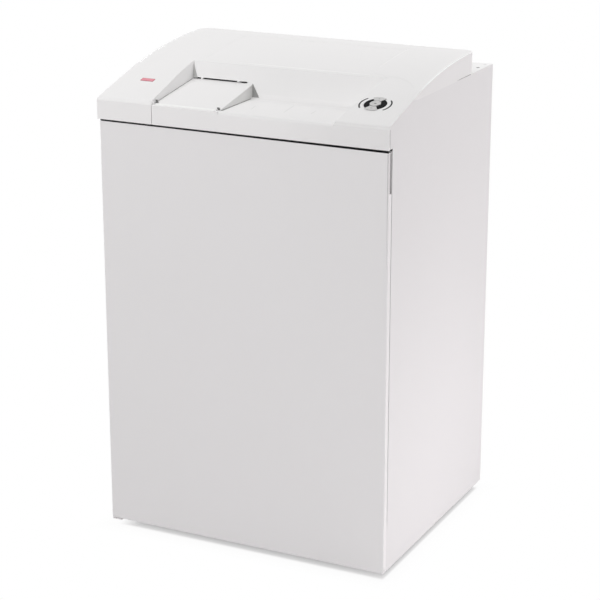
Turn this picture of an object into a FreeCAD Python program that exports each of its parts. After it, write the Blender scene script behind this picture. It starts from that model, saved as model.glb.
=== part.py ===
import FreeCAD, Part
import math
import os

os.makedirs("parts", exist_ok=True)
V = FreeCAD.Vector

# Cabinet
BODY_W = 640.0
DEPTH = 547.0
HEIGHT = 1012.0
FLOOR_GAP = 17.0
DOOR_T = 15.0
DOOR_GAP = 2.5
SHEET = 1.5
HEAD_H = 1.6
PLATE = 2.0
FLANGE = 20.0
CASTOR_H = 70.0
MACHINE_DROP = 312.0
# Moulded top, measured back from the front and down from the crest
LIP_PROUD = 4.0
LIP_SIDE = 2.0
LIP_GAP = 4.0
LIP_H = 39.5
CREST_BACK = 423.5
CREST_R = 1171.0
TOP_SLOPE = 15.5
NOSE_LEN = 9.0
NOSE_R = 14.0
DOME_LEN = 444.5
CORNER_R = 25.0
REAR_DROP = 45.0
COVER_T = 3.0
SEAM = 0.3
LIP_SEAM = 1.2
# Scoop, disc tray and slot
LEDGE_DROP = 78.0
LEDGE_R = 7.0
BLOCK_L = 124.4
BLOCK_R = 115.0
WALL_LEAN = 22.0
RAMP_ANGLE = 50.0
RAMP_FILLET = 22.0
TRAY_DROP = 79.0
TRAY_RISE = 24.9
TRAY_W = 149.1
TRAY_LEAN = 23.0
TRAY_GAP = 0.9
SLOT_BACK = 170.5
SLOT_W = 125.0
SLOT_H = 3.2
# Controls and badge
DIAL_IN = 65.0
DIAL_BACK = 84.1
DIAL_R = 22.9
TAB_R = 27.0
KEY_SPREAD = 117.0
BUTTON_R = 11.0
BADGE_IN = 64.6
BADGE_BACK = 90.1
# Cutting head and drive
ROLLER_RISE = 125.0
NIP_BACK = 48.0
CENTRES = 60.0
CUTTER_R = 35.0
SPACER_R = 23.5
JOURNAL_R = 13.0
DISC_COUNT = 8
RUN = 0.05
GEAR_M = 3.0
SYNC_TEETH = 20
DRIVE_TEETH = 48
PINION_TEETH = 16
PINION_DIR = -20.0
MOTOR_R = 66.0
# Castors
CASTOR_IN = 66.0
WHEEL_R = 25.0
TRAIL = 20.0
# Waste bin
BIN_W = 500.0
BIN_REAR_GAP = 38.9
BIN_TOP_GAP = 45.0
BIN_T = 2.5

half = BODY_W / 2
ix = half - SHEET
y_f = -DEPTH / 2
y_r = DEPTH / 2 - HEAD_H
door_y0 = y_f + LIP_PROUD
door_y1 = door_y0 + DOOR_T
cab_y = door_y1 + DOOR_GAP
fl_y = cab_y + SHEET
in_r = y_r - SHEET
rear_fl = in_r - SHEET
crest_y = y_f + CREST_BACK
dome_y = y_f + DOME_LEN
deck_top = HEIGHT - REAR_DROP
ledge_z = HEIGHT - LEDGE_DROP
tray_z = HEIGHT - TRAY_DROP
shelf_z = HEIGHT - MACHINE_DROP
lip_z0 = ledge_z - LIP_H
door_z0 = FLOOR_GAP
door_z1 = lip_z0 - LIP_GAP
base_z1 = CASTOR_H + PLATE
deck_z1 = shelf_z + PLATE
scoop_l = BLOCK_L - half
scoop_r = half - BLOCK_R
tray_r = scoop_l + TRAY_W
slot_y = y_f + SLOT_BACK
nip_y = slot_y + NIP_BACK
roller_z = shelf_z + ROLLER_RISE
slope = math.radians(TOP_SLOPE)
ramp = math.radians(RAMP_ANGLE)
dial_x = half - DIAL_IN
dial_y = y_f + DIAL_BACK
badge_x = BADGE_IN - half
badge_y = y_f + BADGE_BACK


def box(x0, x1, y0, y1, z0, z1):
    return Part.makeBox(x1 - x0, y1 - y0, z1 - z0, V(x0, y0, z0))


def rod(axis, a, b, r, lo, hi):
    """Cylinder along one axis; a and b are the other two coordinates in x, y, z order."""
    if axis == "x":
        return Part.makeCylinder(r, hi - lo, V(lo, a, b), V(1, 0, 0))
    if axis == "y":
        return Part.makeCylinder(r, hi - lo, V(a, lo, b), V(0, 1, 0))
    return Part.makeCylinder(r, hi - lo, V(a, b, lo), V(0, 0, 1))


def outline(points, place):
    """Face from corner points; a third value rounds that corner."""
    n = len(points)
    ends = []
    for i, p in enumerate(points):
        c = V(p[0], p[1], 0)
        r = p[2] if len(p) > 2 else 0.0
        if r == 0.0:
            ends.append((c, None, c))
            continue
        u = (V(points[i - 1][0], points[i - 1][1], 0) - c).normalize()
        w = (V(points[(i + 1) % n][0], points[(i + 1) % n][1], 0) - c).normalize()
        turn = math.acos(max(-1.0, min(1.0, u.dot(w))))
        run = r / math.tan(turn / 2)
        mid = c + (u + w).normalize() * (r / math.sin(turn / 2) - r)
        ends.append((c + u * run, mid, c + w * run))
    edges = []
    for i, (start, mid, stop) in enumerate(ends):
        if mid is not None:
            edges.append(Part.Arc(place(start), place(mid), place(stop)).toShape())
        follow = ends[(i + 1) % n][0]
        if (follow - stop).Length > 1e-6:
            edges.append(Part.makeLine(place(stop), place(follow)))
    return Part.Face(Part.Wire(edges))


def prism_x(points, x0, x1):
    return outline(points, lambda p: V(x0, p.x, p.y)).extrude(V(x1 - x0, 0, 0))


def prism_y(points, y0, y1):
    return outline(points, lambda p: V(p.x, y0, p.y)).extrude(V(0, y1 - y0, 0))


def prism_z(points, z0, z1):
    return outline(points, lambda p: V(p.x, p.y, z0)).extrude(V(0, 0, z1 - z0))


def rect(a0, a1, b0, b1, r=0.0):
    return [(a0, b0, r), (a1, b0, r), (a1, b1, r), (a0, b1, r)]


def fuse(shapes):
    whole = shapes[0]
    if len(shapes) > 1:
        whole = whole.fuse(shapes[1:])
    return whole.removeSplitter()


def mirrored(shape):
    return shape.mirror(V(0, 0, 0), V(1, 0, 0))


def both(shape):
    return [shape, mirrored(shape)]


def save(name, shape):
    if isinstance(shape, list):
        shape = Part.makeCompound(shape)
    shape.exportStep("parts/" + name + ".step")


# Dome of the top: nose arc, straight slope, crest arc
crest_c = V(0, crest_y, HEIGHT - CREST_R)
bend_y = crest_y - CREST_R * math.sin(slope)
bend_z = crest_c.z + CREST_R * math.cos(slope)
nose_y = y_f + NOSE_LEN
nose_z = bend_z - (bend_y - nose_y) * math.tan(slope)
nose_c = V(0, nose_y + NOSE_R * math.sin(slope), nose_z - NOSE_R * math.cos(slope))


def dome_z(y, inset=0.0):
    if y >= bend_y + inset * math.sin(slope):
        return crest_c.z + math.sqrt((CREST_R - inset) ** 2 - (y - crest_c.y) ** 2)
    if y <= nose_y + inset * math.sin(slope):
        return nose_c.z + math.sqrt((NOSE_R - inset) ** 2 - (y - nose_c.y) ** 2)
    return nose_z + (y - nose_y) * math.tan(slope) - inset / math.cos(slope)


def dome_block(inset, x0, x1, y0, y1, z0):
    shift = inset * math.sin(slope)
    stops = [y1] + [b for b in (bend_y + shift, nose_y + shift) if y0 < b < y1] + [y0]
    edges = [Part.makeLine(V(x0, y0, z0), V(x0, y1, z0))]
    edges.append(Part.makeLine(V(x0, y1, z0), V(x0, y1, dome_z(y1, inset))))
    for a, b in zip(stops[:-1], stops[1:]):
        mid = (a + b) / 2
        pa = V(x0, a, dome_z(a, inset))
        pb = V(x0, b, dome_z(b, inset))
        if bend_y + shift > mid > nose_y + shift:
            edges.append(Part.makeLine(pa, pb))
        else:
            edges.append(Part.Arc(pa, V(x0, mid, dome_z(mid, inset)), pb).toShape())
    edges.append(Part.makeLine(V(x0, y0, dome_z(y0, inset)), V(x0, y0, z0)))
    return Part.Face(Part.Wire(edges)).extrude(V(x1 - x0, 0, 0))


def ramp_y(z, back=0.0):
    return slot_y + (z - tray_end) / math.tan(ramp) + back / math.sin(ramp)


tray_end = tray_z + TRAY_RISE
tray_run = slot_y - y_f
climb = TRAY_RISE / tray_run


def scoop_profile(back, x0, x1):
    """Air of the scoop over ledge and ramp, grown downwards and backwards by back."""
    z = ledge_z - back
    top = HEIGHT + 60
    points = [(y_f - 40, z), (ramp_y(z, back), z, RAMP_FILLET + back), (ramp_y(top, back), top)]
    return prism_x(points + [(y_f - 40, top)], x0, x1)


def left_half(grow):
    t = math.tan(math.radians(WALL_LEAN))
    x = scoop_l - grow / math.cos(math.radians(WALL_LEAN))
    y0 = y_f - 60
    z = tray_z - 60 * climb
    face = outline([(x + 80 * t, z - 80), (x - 200 * t, z + 200), (half, z + 200), (half, z - 80)],
                   lambda p: V(p.x, y0, p.y))
    return face.extrude(V(0, DEPTH, DEPTH * climb))


def right_half(grow):
    t = math.tan(math.radians(WALL_LEAN))
    x = scoop_r + grow / math.cos(math.radians(WALL_LEAN))
    points = [(x - 80 * t, ledge_z - 80), (x + 200 * t, ledge_z + 200)]
    points += [(-half, ledge_z + 200), (-half, ledge_z - 80)]
    return prism_y(points, y_f - 60, y_f + DEPTH)


def scoop(grow, back):
    return scoop_profile(back, -half, half).common(left_half(grow)).common(right_half(grow))


# Cabinet sheets
deck_y = dome_y - CORNER_R - 6


def side_panel():
    ear_y = y_f + 11.5
    points = [(cab_y, FLOOR_GAP), (cab_y, lip_z0), (ear_y, lip_z0), (ear_y, deck_top)]
    points += [(y_r, deck_top), (y_r, FLOOR_GAP)]
    sheet = prism_x(points, ix, half)
    roof = dome_block(COVER_T + SEAM, ix - 5, half + 5, ear_y, crest_y, 0)
    roof = roof.fuse(box(ix - 5, half + 5, crest_y, y_r + 5, 0, deck_top + 5))
    sheet = sheet.common(roof)
    front = box(half - FLANGE, ix, cab_y, fl_y, FLOOR_GAP, door_z1 - 0.5)
    rear = box(ix - FLANGE, ix, rear_fl, in_r, FLOOR_GAP, deck_top - SHEET)
    top = box(ix - FLANGE, ix, bend_y + FLANGE, deck_y - 0.5, deck_top - SHEET, deck_top)
    return fuse([sheet, front, rear, top])


right_panel = side_panel()
save("side_panel_right", right_panel)
save("side_panel_left", mirrored(right_panel))

apron_x = half - FLANGE - 4
pan = [box(-ix, ix, fl_y, rear_fl, CASTOR_H, base_z1)]
pan += both(box(ix - PLATE, ix, fl_y, rear_fl, base_z1, base_z1 + 30))
pan.append(box(-apron_x, apron_x, fl_y, fl_y + PLATE, FLOOR_GAP + 8, CASTOR_H))
pan.append(box(-apron_x, apron_x, rear_fl - PLATE, rear_fl, base_z1, base_z1 + 30))
save("base_pan", fuse(pan))

inlet_x = 170 - half
inlet_z = 300.0
inlet_w = 48.0
inlet_h = 60.0
vents = []
for row in range(9):
    z = shelf_z + 60 + 16 * row
    for x in (-180.0, 0.0, 180.0):
        vents.append(box(x - 60, x + 60, in_r - 1, y_r + 1, z, z + 5))
rear = box(-ix + 0.1, ix - 0.1, in_r, y_r, FLOOR_GAP, deck_top - SHEET)
rear = rear.cut(vents + [box(inlet_x, inlet_x + inlet_w, in_r - 1, y_r + 1, inlet_z, inlet_z + inlet_h)])
save("rear_panel", rear)

rear_top = [box(-ix + 0.1, ix - 0.1, deck_y, y_r, deck_top - SHEET, deck_top)]
rear_top.append(box(-ix + 0.1, ix - 0.1, deck_y, deck_y + SHEET, deck_top - 35, deck_top - SHEET))
rear_top = fuse(rear_top)

def screw_y(x, z):
    """Low-headed screw in the rear panel with a cross recess."""
    head = rod("y", x, z, 4.5, y_r, y_r + HEAD_H)
    head = head.cut(box(x - 3, x + 3, y_r + 0.8, y_r + 2, z - 0.6, z + 0.6))
    head = head.cut(box(x - 0.6, x + 0.6, y_r + 0.8, y_r + 2, z - 3, z + 3))
    return head


def screw_z(x, y):
    """Countersunk screw, its head just below the face of the rear top."""
    z = deck_top - 0.3
    head = Part.makeCone(2.6, 4.2, SHEET - 0.3, V(x, y, deck_top - SHEET))
    head = head.fuse(rod("z", x, y, 2.0, deck_top - 8, deck_top - SHEET + 0.2))
    head = head.cut(box(x - 2.6, x + 2.6, y - 0.6, y + 0.6, z - 0.7, z + 1))
    return head.cut(box(x - 0.6, x + 0.6, y - 2.6, y + 2.6, z - 0.7, z + 1)).removeSplitter()


deck_spots = [(s * (half - 14), y) for s in (-1, 1) for y in (y_r - 51, y_r - 12)]
deck_heads = [screw_z(x, y) for x, y in deck_spots]
for x, y in deck_spots:
    rear_top = rear_top.cut(Part.makeCone(2.7, 4.6, SHEET + 0.02, V(x, y, deck_top - SHEET - 0.01)))
save("rear_deck", rear_top)

# Shelf and guard
shelf_y = fl_y + SHEET
head_l = scoop_l - 2
head_r = head_l + SLOT_W + 3.5
chute_y0 = nip_y - 58
chute_y1 = nip_y + 58
shelf = [box(-ix, ix, shelf_y, rear_fl, shelf_z, deck_z1)]
shelf += both(box(ix - PLATE, ix, shelf_y, rear_fl, shelf_z - 25, shelf_z))
shelf = fuse(shelf).cut(box(head_l, head_r, chute_y0, chute_y1, shelf_z - 1, deck_z1 + 1))
save("machine_deck", shelf)

spout = box(head_l - 1.5, head_r + 1.5, chute_y0 - 1.5, chute_y1 + 1.5, shelf_z - 30, shelf_z)
spout = spout.cut(box(head_l, head_r, chute_y0, chute_y1, shelf_z - 31, shelf_z + 1))
save("discharge_chute", spout)

switch_x = half - 140
switch_z = shelf_z + 100
guard = [box(-apron_x, apron_x, fl_y, shelf_y, deck_z1, lip_z0 + 20)]
guard.append(box(-apron_x, apron_x, shelf_y, shelf_y + 14, deck_z1, deck_z1 + SHEET))
guard = fuse(guard).cut(rod("y", switch_x, switch_z, 3.6, fl_y - 1, shelf_y + 1))
save("front_guard", guard)

# Door, hinged on the left
HINGE_IN = 7.5
pin_x = -half + HINGE_IN
pin_y = door_y1 - HINGE_IN
stile = 16.0
grip_z0 = door_z1 - 83
grip_z1 = door_z1 - 3
grip_x = half - 26
corners = [(-half, door_y0, 3.0), (half, door_y0, 1.5), (half, door_y1), (-half, door_y1, HINGE_IN - 0.1)]
skin = prism_z(corners, door_z0, door_z1)
skin = skin.cut(box(-half + stile, half - SHEET, door_y0 + SHEET, door_y1 + 1, door_z0 + SHEET, door_z1 - SHEET))
skin = skin.cut(rod("z", pin_x, pin_y, 5.0, door_z0 - 1, door_z0 + 24))
skin = skin.cut(rod("z", pin_x, pin_y, 5.0, door_z1 - 24, door_z1 + 1))
skin = skin.cut(box(half - 5, half + 1, door_y0 + 6, door_y1 + 1, grip_z0, grip_z1))
save("door_skin", skin)

liner_y = door_y1 - SHEET
liner = [box(-half + stile, grip_x - 1.5, liner_y, door_y1, door_z0 + SHEET, door_z1 - SHEET)]
liner.append(box(grip_x - 1.5 + SEAM, half - SHEET, liner_y, door_y1, door_z0 + SHEET, grip_z0 - 1.5))
save("door_liner", liner)

cup = box(grip_x - 1.5, ix, door_y0 + SHEET, door_y1, grip_z0 - 1.5, door_z1 - SHEET)
cup = cup.cut(box(grip_x, half, door_y0 + 6, door_y1 + 1, grip_z0, grip_z1))
save("grip_cup", cup)


def bush(z0, z1):
    return rod("z", pin_x, pin_y, 5.0, z0, z1).cut(rod("z", pin_x, pin_y, 3.0 + RUN, z0 - 1, z1 + 1))


save("hinge_bushes", [bush(door_z0, door_z0 + 24), bush(door_z1 - 24, door_z1)])
strike = box(half - 56, half - 34, door_y1, door_y1 + 0.8, door_z1 - 130, door_z1 - 100)
save("strike_plate", strike)


def bracket(z_leg, z0, z1, pin0, pin1):
    leg = box(-ix + 0.5, -apron_x - 0.5, fl_y, fl_y + 2.4, min(z_leg, z0), max(z_leg, z1))
    plate = box(-ix + 0.5, -apron_x - 0.5, pin_y - 7, fl_y + 2.4, z0, z1)
    return fuse([leg, plate, rod("z", pin_x, pin_y, 3.0, pin0, pin1)])


top_plate = door_z1 + 0.8
save("hinge_brackets", [bracket(door_z1 - 40, top_plate, top_plate + 2.4, door_z1 - 22, top_plate + 2.4),
                        bracket(door_z0 + 43, door_z0 - 4, door_z0 - 1.2, door_z0 - 4, door_z0 + 22)])
catch = box(half - 56, half - 34, door_y1 + 1.1, fl_y, door_z1 - 130, door_z1 - 100)
save("door_catch", catch)

switch = box(switch_x - 14, switch_x + 14, shelf_y, shelf_y + 24, switch_z - 18, switch_z + 18)
switch = switch.cut(rod("y", switch_x, switch_z, 3.0 + RUN, shelf_y - 1, shelf_y + 20))
save("door_switch", switch)
plunger = fuse([rod("y", switch_x, switch_z, 3.0, door_y1 + 0.3, shelf_y + 12),
                rod("y", switch_x, switch_z, 2.0, shelf_y + 12, shelf_y + 18)])
save("switch_plunger", plunger)

# Moulded top
def plan(inset):
    """Upright block over the dome's outline seen from above, its rear corners rounded."""
    x = half - inset
    y = dome_y - inset
    r = CORNER_R - inset
    return prism_z([(-x, y_f - 5), (x, y_f - 5), (x, y, r), (-x, y, r)], lip_z0 - 2, HEIGHT + 5)


skin_out = dome_block(0, -half, half, y_f, dome_y, lip_z0).common(plan(0))
skin_in = dome_block(COVER_T, -half - 1, half + 1, y_f + COVER_T, dome_y + 1, lip_z0 - 1)
walls = skin_out.cut(plan(COVER_T)).common(box(-half, half, y_f, dome_y, deck_top + 0.4, HEIGHT))
opening = scoop(COVER_T, COVER_T + SEAM)
lip_left = dome_block(0, -half - LIP_SIDE, scoop_l, y_f, y_f + COVER_T, lip_z0)
rib_z = ledge_z - 12
foot_l = box(scoop_l - COVER_T, scoop_l, y_f, ramp_y(ledge_z), rib_z, tray_z)
wall_zone = scoop(COVER_T, COVER_T + SEAM + 4).common(skin_out).cut(left_half(0).common(right_half(0)))
wall_l = wall_zone.common(box(-half, scoop_l, y_f, dome_y, ledge_z - 6, HEIGHT))
wall_r = wall_zone.common(box(scoop_r, half, y_f + COVER_T + SEAM, dome_y, ledge_z - 3, HEIGHT))
foot_r = box(scoop_r, scoop_r + COVER_T, y_f + COVER_T + SEAM, ramp_y(ledge_z), rib_z, ledge_z)
cover = fuse([skin_out.cut(skin_in).cut(opening), walls])
cover = fuse([cover, lip_left, foot_l, wall_l, wall_r, foot_r])
cover = cover.cut(box(scoop_l, half + 1, y_f - 1, y_f + COVER_T + SEAM, lip_z0 - 1, HEIGHT))
hatch_x = half - 132.5
hatch_y0 = ramp_y(dome_z(bend_y + 30)) + 22
hatch_y1 = dome_y - 51
hatch_cut = box(-hatch_x - SEAM, hatch_x + SEAM, hatch_y0 - SEAM, hatch_y1 + SEAM, HEIGHT - 60, HEIGHT + 5)
rebate = dome_block(COVER_T, -hatch_x - 8, hatch_x + 8, hatch_y0 - 8, hatch_y1 + 8, HEIGHT - 60)
rebate = rebate.cut(dome_block(2 * COVER_T, -hatch_x - 9, hatch_x + 9, hatch_y0 - 9, hatch_y1 + 9, HEIGHT - 61))
rebate = rebate.cut(box(-hatch_x + 8, hatch_x - 8, hatch_y0 + 8, hatch_y1 - 8, HEIGHT - 62, HEIGHT))
cover = fuse([cover.cut(hatch_cut), rebate])


def on_slope(shape, x, y):
    turn = FreeCAD.Rotation(V(1, 0, 0), TOP_SLOPE)
    shape.Placement = FreeCAD.Placement(V(x, y, dome_z(y)), turn)
    return shape


well = on_slope(rod("z", 0, 0, DIAL_R + SEAM, -12, 20), dial_x, dial_y)
badge_cut = on_slope(prism_z(rect(-15.3, 15.3, -6.3, 6.3, 1.8), -0.8, 20), badge_x, badge_y)
cover = cover.cut(well).cut(badge_cut)
save("top_cover", cover)
hatch = dome_block(0, -hatch_x, hatch_x, hatch_y0, hatch_y1, HEIGHT - 60)
hatch = hatch.cut(dome_block(COVER_T, -hatch_x - 1, hatch_x + 1, hatch_y0 - 1, hatch_y1 + 1, HEIGHT - 61))
save("service_hatch", hatch)
save("badge_plate", on_slope(prism_z(rect(-15, 15, -6, 6, 1.5), -0.8, 0.5), badge_x, badge_y))

# Feed table: lip, ledge, ramp and the wedge-shaped disc tray
edge = scoop_l + LIP_SEAM
strip = scoop_profile(COVER_T, -half, half).cut(scoop_profile(0, -half, half))
strip = strip.common(left_half(-SEAM)).common(right_half(-SEAM))
strip = strip.common(dome_block(0, -half, half, y_f, dome_y, lip_z0))
strip = strip.cut(box(-half, edge, y_f, dome_y, lip_z0, ledge_z + 1))
lip = dome_block(0, edge, half + LIP_SIDE, y_f, y_f + COVER_T, lip_z0).cut(scoop(-SEAM, 0))
lip = lip.cut(box(edge - 1, scoop_r - SEAM, y_f - 1, y_f + 10, ledge_z, HEIGHT))
tray_tan = math.tan(math.radians(TRAY_LEAN))


def wedge(down, inset):
    """Tray body under its sloping floor; down and inset give the hollow underneath."""
    z0 = tray_z - down
    far = ramp_y(tray_end) + 30
    nose = 9.0 if down == 0 else 0.0
    points = [(y_f + inset, lip_z0 + 5), (y_f + inset, z0 + inset * climb, nose)]
    points += [(far, z0 + (far - y_f) * climb), (far, lip_z0 + 5)]
    x = tray_r - inset / math.cos(math.radians(TRAY_LEAN))
    face = [(x, ledge_z), (x - 60 * tray_tan, ledge_z + 60), (edge + inset, ledge_z + 60)]
    face += [(edge + inset, lip_z0 + 4), (x, lip_z0 + 4)]
    return prism_x(points, edge - 5, tray_r + 40).common(prism_y(face, y_f - 5, far + 5))


floor_l = left_half(-TRAY_GAP).fuse(box(edge, half, y_f - 5, dome_y, lip_z0, tray_z - 1))
tray = wedge(0, 0).common(scoop_profile(COVER_T, -half, half)).common(floor_l)
table = fuse([strip, lip, tray])
hollow = wedge(COVER_T, COVER_T).common(scoop_profile(COVER_T + 5, -half, half))
hollow = hollow.common(box(-half, half, y_f + COVER_T, ramp_y(ledge_z - COVER_T) - 4, lip_z0, HEIGHT))
table = table.cut(hollow)
slot_x0 = scoop_l + 1.2
slot_x1 = slot_x0 + SLOT_W
slot = box(slot_x0, slot_x1, slot_y - 1.5, slot_y + 30, tray_end - 0.2, tray_end - 0.2 + SLOT_H)
groove = box(tray_r, tray_r + TRAY_GAP, y_f + LEDGE_R, ramp_y(ledge_z) - 6, ledge_z - COVER_T / 2, ledge_z + 9)
brow = box(tray_r, scoop_r - SEAM, y_f - 1, y_f + LEDGE_R, ledge_z - LEDGE_R, ledge_z + 1)
brow = brow.cut(rod("x", y_f + LEDGE_R, ledge_z - LEDGE_R, LEDGE_R, tray_r - 1, scoop_r))
save("feed_table", table.cut(slot).cut(groove).cut(brow))

# Dial of keys on the right block
def sector(r0, r1, mid, spread, z0, z1):
    ring = rod("z", 0, 0, r1, z0, z1).cut(rod("z", 0, 0, r0, z0 - 1, z1 + 1))
    a0 = math.radians(mid - spread / 2)
    a1 = math.radians(mid + spread / 2)
    am = math.radians(mid)
    points = [(0, 0)] + [(2 * r1 * math.cos(a), 2 * r1 * math.sin(a)) for a in (a0, am, a1)]
    return ring.common(prism_z(points, z0 - 1, z1 + 1))


base = rod("z", 0, 0, DIAL_R, -9, 0.2)
base = base.cut(rod("z", 0, 0, BUTTON_R + 0.4, -6, 5))
tab_spread = 178 - KEY_SPREAD
for mid in (0, 180):
    base = base.cut(sector(BUTTON_R + 0.7, DIAL_R + 1, mid, KEY_SPREAD + 2, -5.5, 5))
socket = rod("z", 0, 0, DIAL_R + 5, -22, -9)
socket = socket.cut(rod("z", 0, 0, DIAL_R - 4, -20, -10))
tabs = []
for mid in (90, 270):
    tabs.append(sector(BUTTON_R + 0.7, DIAL_R, mid, tab_spread, -5.5, 1.8))
    tabs.append(sector(DIAL_R - 0.5, TAB_R, mid, tab_spread, SEAM, 1.8))
save("control_base", on_slope(fuse([base, socket] + tabs), dial_x, dial_y))
for name, mid in (("key_right", 0), ("key_left", 180)):
    key = sector(BUTTON_R + 1.2, DIAL_R - 0.5, mid, KEY_SPREAD, -3.5, 0.8)
    save(name, on_slope(key, dial_x, dial_y))
button = rod("z", 0, 0, BUTTON_R, -4, 2.2)
button = button.cut(rod("z", 0, 0, BUTTON_R - 2.5, 1.7, 3))
save("stop_button", on_slope(button, dial_x, dial_y))

# Cutting head
front_y = nip_y - CENTRES / 2
rear_y = nip_y + CENTRES / 2
plate_z1 = roller_z + 38
plate_y0 = nip_y - 80
plate_y1 = nip_y + 80
bush_r = JOURNAL_R + 6


def head_plate(x0, x1):
    plate = prism_x(rect(plate_y0, plate_y1, deck_z1, plate_z1, 6), x0, x1)
    return plate.cut([rod("x", y, roller_z, bush_r, x0 - 1, x1 + 1) for y in (front_y, rear_y)])


save("head_plate_left", head_plate(head_l - 9, head_l - 1))
save("head_plate_right", head_plate(head_r + 1, head_r + 9))
bushes = []
for x0 in (head_l - 9, head_r + 1):
    for y in (front_y, rear_y):
        ring = rod("x", y, roller_z, bush_r, x0, x0 + 8)
        bushes.append(ring.cut(rod("x", y, roller_z, JOURNAL_R + RUN, x0 - 1, x0 + 9)))
save("roller_bushes", bushes)
rods = []
for y in (plate_y0 + 10, plate_y1 - 10):
    for z in (deck_z1 + 14, plate_z1 - 10):
        rods.append(rod("x", y, z, 6, head_l - 1, head_r + 1))
save("tie_rods", rods)

pitch = (head_r - head_l) / (DISC_COUNT + 0.5)
disc_t = pitch / 2 - 0.5


def cutter_disc(y, x, phase, way):
    points = []
    count = 8
    for k in range(count):
        a = 2 * math.pi * k / count + phase
        for r, da in ((CUTTER_R - 5, 0.0), (CUTTER_R, 0.06), (CUTTER_R - 0.6, 0.30), (CUTTER_R - 5, 0.72)):
            points.append((y + way * r * math.cos(a + da), roller_z + r * math.sin(a + da)))
    return prism_x(points, x, x + disc_t)


def roller(y, first, way, end):
    parts = [rod("x", y, roller_z, SPACER_R, head_l + 1, head_r - 1)]
    parts.append(rod("x", y, roller_z, JOURNAL_R, head_l - 12, end))
    for k in range(DISC_COUNT):
        parts.append(cutter_disc(y, first + k * pitch, 0.13 * k, way))
    return fuse(parts)


disc_x = head_l + 0.5 + 1.0
sync_x = head_r + 13
drive_x = sync_x + 16
save("cutter_front", roller(front_y, disc_x, 1, sync_x + 13))
save("cutter_rear", roller(rear_y, disc_x + pitch / 2, -1, drive_x + 16))


def comb(y, side, first):
    """Stripper comb whose fingers stand between the discs of one roller."""
    bar = sorted((y + side * (CUTTER_R + 3), y + side * (CUTTER_R + 11)))
    parts = [box(head_l - 1, head_r + 1, bar[0], bar[1], roller_z - 22, roller_z - 6)]
    span = sorted((y + side * (SPACER_R - 6), y + side * (CUTTER_R + 4)))
    for k in range(DISC_COUNT - 1):
        x = first + k * pitch + disc_t + 0.6
        parts.append(box(x, x + pitch - disc_t - 1.2, span[0], span[1], roller_z - 22, roller_z - 6))
    return fuse(parts).cut(rod("x", y, roller_z, SPACER_R + 0.8, head_l - 5, head_r + 5))


save("stripper_front", comb(front_y, -1, disc_x))
save("stripper_rear", comb(rear_y, 1, disc_x + pitch / 2))


def gear(y, z, teeth, x0, x1, bore, phase):
    rp = GEAR_M * teeth / 2
    points = []
    tilt = math.tan(math.radians(20))
    wide = math.pi / (2 * teeth) - 0.32 / rp
    for k in range(teeth):
        mid = 2 * math.pi * k / teeth + phase
        low = wide + 1.2 * GEAR_M * tilt / rp
        high = wide - 0.95 * GEAR_M * tilt / rp
        for r, da in ((rp - 1.2 * GEAR_M, -low), (rp + 0.95 * GEAR_M, -high),
                      (rp + 0.95 * GEAR_M, high), (rp - 1.2 * GEAR_M, low)):
            points.append((y + r * math.cos(mid + da), z + r * math.sin(mid + da)))
    return prism_x(points, x0, x1).cut(rod("x", y, z, bore, x0 - 1, x1 + 1))


gear_bore = JOURNAL_R + 0.02
half_tooth = math.pi / SYNC_TEETH
save("sync_gear_front", gear(front_y, roller_z, SYNC_TEETH, sync_x, sync_x + 12, gear_bore, half_tooth))
save("sync_gear_rear", gear(rear_y, roller_z, SYNC_TEETH, sync_x, sync_x + 12, gear_bore, 0.0))
gap = GEAR_M * (DRIVE_TEETH + PINION_TEETH) / 2
toward = math.radians(PINION_DIR)
drive_y = rear_y + gap * math.cos(toward)
drive_z = roller_z + gap * math.sin(toward)
wheel = gear(rear_y, roller_z, DRIVE_TEETH, drive_x, drive_x + 12, gear_bore, toward)
holes = []
for k in range(6):
    a = math.pi * k / 3
    hole_y = rear_y + 42 * math.cos(a)
    holes.append(rod("x", hole_y, roller_z + 42 * math.sin(a), 12, drive_x - 1, drive_x + 13))
save("drive_gear", wheel.cut(holes))
facing = toward + math.pi + math.pi / PINION_TEETH
pinion = gear(drive_y, drive_z, PINION_TEETH, drive_x - 2, drive_x + 14, 9.0, facing)
box_x = drive_x + 24
pinion = fuse([pinion, rod("x", drive_y, drive_z, 9.0, drive_x - 2, box_x + 30)])
save("drive_pinion", pinion)

# Gearbox, motor and electrics on the shelf
case = prism_x(rect(drive_y - 62, drive_y + 62, deck_z1, drive_z + 62, 10), box_x, box_x + 70)
case = case.cut(rod("x", drive_y, drive_z, 9.0 + RUN, box_x - 1, box_x + 31))
save("gearbox", case)
motor_x = box_x + 70
motor_x1 = half - 62
ring = []
for k in range(28):
    for r, da in ((MOTOR_R - 5, -0.055), (MOTOR_R, -0.045), (MOTOR_R, 0.045), (MOTOR_R - 5, 0.055)):
        a = 2 * math.pi * k / 28 + da
        ring.append((drive_y + r * math.cos(a), drive_z + r * math.sin(a)))
motor = [prism_x(ring, motor_x, motor_x1)]
for x in (motor_x + 12, motor_x1 - 34):
    motor.append(box(x, x + 22, drive_y - 48, drive_y + 48, deck_z1, drive_z - 30))
save("drive_motor", fuse(motor))
cowl = rod("x", drive_y, drive_z, MOTOR_R, motor_x1, motor_x1 + 36)
grille = []
for k in range(8):
    a = math.pi * k / 4
    hole_y = drive_y + 38 * math.cos(a)
    grille.append(rod("x", hole_y, drive_z + 38 * math.sin(a), 9, motor_x1 + 30, motor_x1 + 40))
save("motor_cowl", cowl.cut(grille))
cap_y = y_r - 40
save("capacitor", [rod("x", cap_y, deck_z1 + 24, 22, motor_x, motor_x + 95),
                   box(motor_x + 20, motor_x + 30, cap_y - 14, cap_y + 14, deck_z1, deck_z1 + 8)])
ctrl_x = half - 70
ctrl = prism_z(rect(ctrl_x - 190, ctrl_x, y_f + 60, y_f + 190, 6), deck_z1, deck_z1 + 52)
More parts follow.
